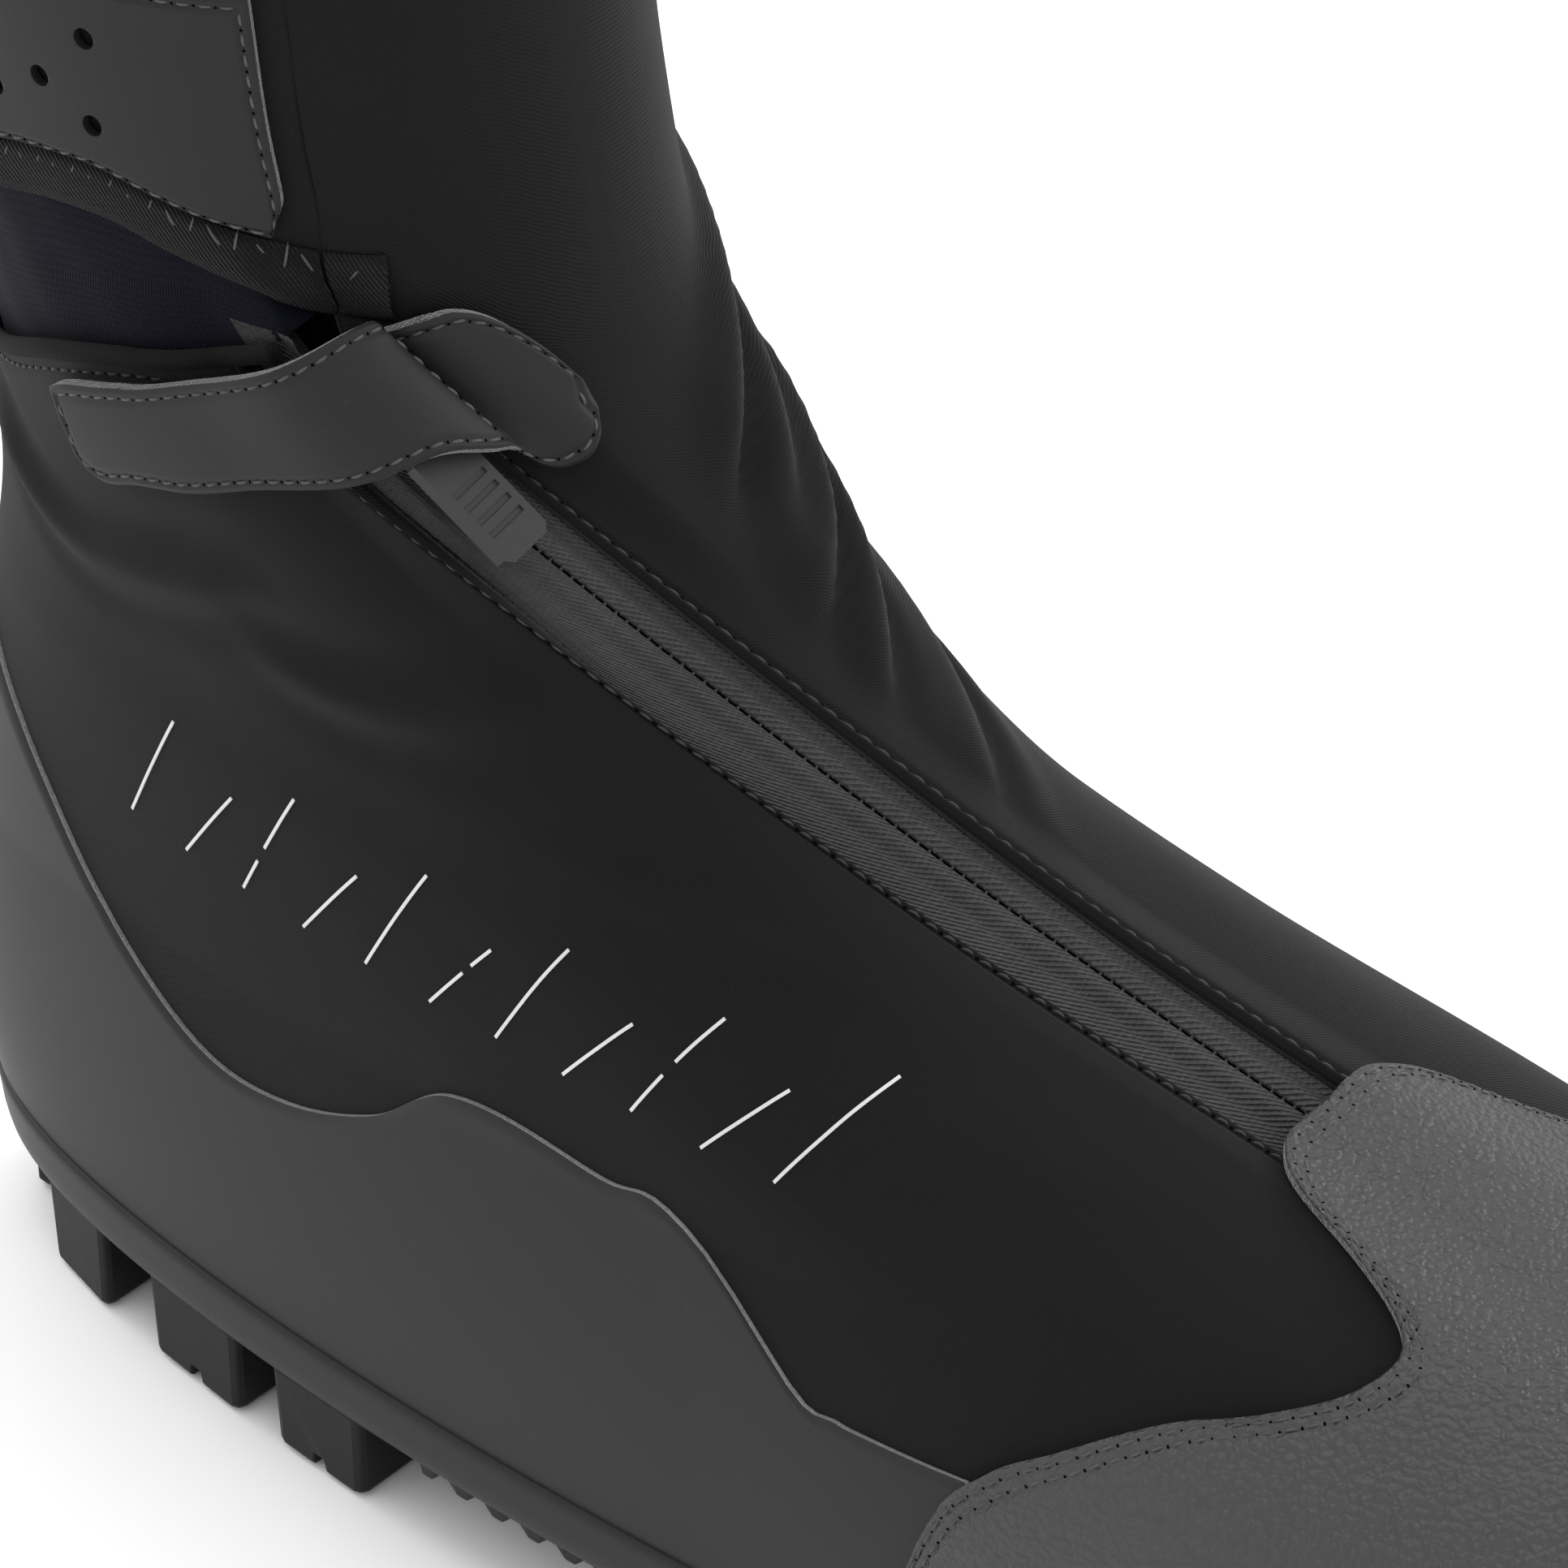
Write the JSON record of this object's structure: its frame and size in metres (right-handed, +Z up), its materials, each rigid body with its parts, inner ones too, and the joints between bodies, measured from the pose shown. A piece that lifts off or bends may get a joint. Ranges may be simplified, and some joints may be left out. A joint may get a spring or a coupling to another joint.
{
  "type": "winter cycling boot",
  "caption": "Ankle-high cross country cycling boot for the right foot, with an angled front zip, ankle strap, wrap cuff and lugged sole for a cleat.",
  "frame": {"origin": "under the middle of the whole boot's box, on the ground the tread stands on", "axes": "+X to the toe, +Z up, -Y to the outside of the foot"},
  "size_m": [0.3056, 0.105, 0.206],
  "materials": {
    "outsole_plastic": "fine moulded, semi-matte",
    "tread_rubber": "matte moulded rubber",
    "steel": "dark plated",
    "board": "plain fibre board",
    "lining": "brushed fleece",
    "softshell": "fine twill, matte with a slight sheen",
    "neoprene": "ribbed knit over foam",
    "guard_film": "smooth polyurethane, soft satin",
    "grained_leather": "fine pebble grain, satin",
    "smooth_leather": "smooth matte polyurethane",
    "zip_tape": "knitted tape",
    "zip_coil": "nylon coil",
    "grip_rubber": "soft moulded rubber",
    "hook_and_loop": "hook and loop",
    "binding": "knitted binding tape"
  },
  "bodies": {
    "boot": {"arch_grip_pad": "tread_rubber", "ball_lug_inner_1": "tread_rubber", "ball_lug_inner_2": "tread_rubber", "ball_lug_inner_3": "tread_rubber", "ball_lug_inner_4": "tread_rubber", "ball_lug_outer_1": "tread_rubber", "ball_lug_outer_2": "tread_rubber", "ball_lug_outer_3": "tread_rubber", "ball_lug_outer_4": "tread_rubber", "cuff_loop_patch": "hook_and_loop", "front_panel": "softshell", "heel_counter": "board", "heel_lug_back": "tread_rubber", "heel_lug_inner_1": "tread_rubber", "heel_lug_inner_2": "tread_rubber", "heel_lug_inner_3": "tread_rubber", "heel_lug_outer_1": "tread_rubber", "heel_lug_outer_2": "tread_rubber", "heel_lug_outer_3": "tread_rubber", "heel_pull_loop": "binding", "inner_cuff": "neoprene", "insole": "lining", "lasting_board": "board", "liner_bootie": "lining", "mudguard": "guard_film", "outsole_plate": "outsole_plastic", "quarter_outer": "softshell", "rim_binding": "binding", "strap_anchor": "smooth_leather", "strap_loop_patch": "hook_and_loop", "toe_cap": "grained_leather", "toe_puff": "board", "toe_stud_inner": "steel", "toe_stud_outer": "steel", "topline_binding": "binding", "zip_bottom_stop": "steel", "zip_coil_inner": "zip_coil", "zip_coil_outer": "zip_coil", "zip_gusset": "softshell", "zip_tape_inner": "zip_tape", "zip_tape_outer": "zip_tape", "zip_top_stop": "steel"},
    "slider": {"zip_slider": "steel"},
    "puller": {"puller_bail": "steel", "puller_grip": "grip_rubber"},
    "strap": {"ankle_strap": "smooth_leather", "strap_hook_patch": "hook_and_loop"},
    "cuff": {"cuff_flap": "softshell", "cuff_flap_binding": "binding", "cuff_flap_rim": "binding", "cuff_vent_panel": "smooth_leather", "cuff_hook_patch": "hook_and_loop"},
    "nut_plate": {"cleat_nut_plate": "steel"}
  },
  "joints": [
    {"name": "zip_slide", "type": "hinge", "parent": "boot", "child": "slider", "pos_m": [0.09675, -0.11546, 0.2335], "axis": [-0.135, -0.8019, -0.582], "range_deg": [0, 33]},
    {"name": "puller_lift", "type": "hinge", "parent": "slider", "child": "puller", "pos_m": [-0.05426, -0.02891, 0.15011], "axis": [0.0042, -0.9669, -0.255], "range_deg": [0, 4.5]},
    {"name": "strap_peel", "type": "hinge", "parent": "boot", "child": "strap", "pos_m": [-0.05147, -0.02339, 0.15145], "axis": [-0.6273, -0.4052, 0.6651], "range_deg": [0, 45]},
    {"name": "cuff_open", "type": "hinge", "parent": "boot", "child": "cuff", "pos_m": [-0.06215, -0.02822, 0.15886], "axis": [-0.0901, -0.0758, 0.993], "range_deg": [0, 100]},
    {"name": "cleat_slide", "type": "slide", "parent": "boot", "child": "nut_plate", "axis": [0.9966, 0, 0.083], "range_m": [-0.009, 0.009]}
  ]
}
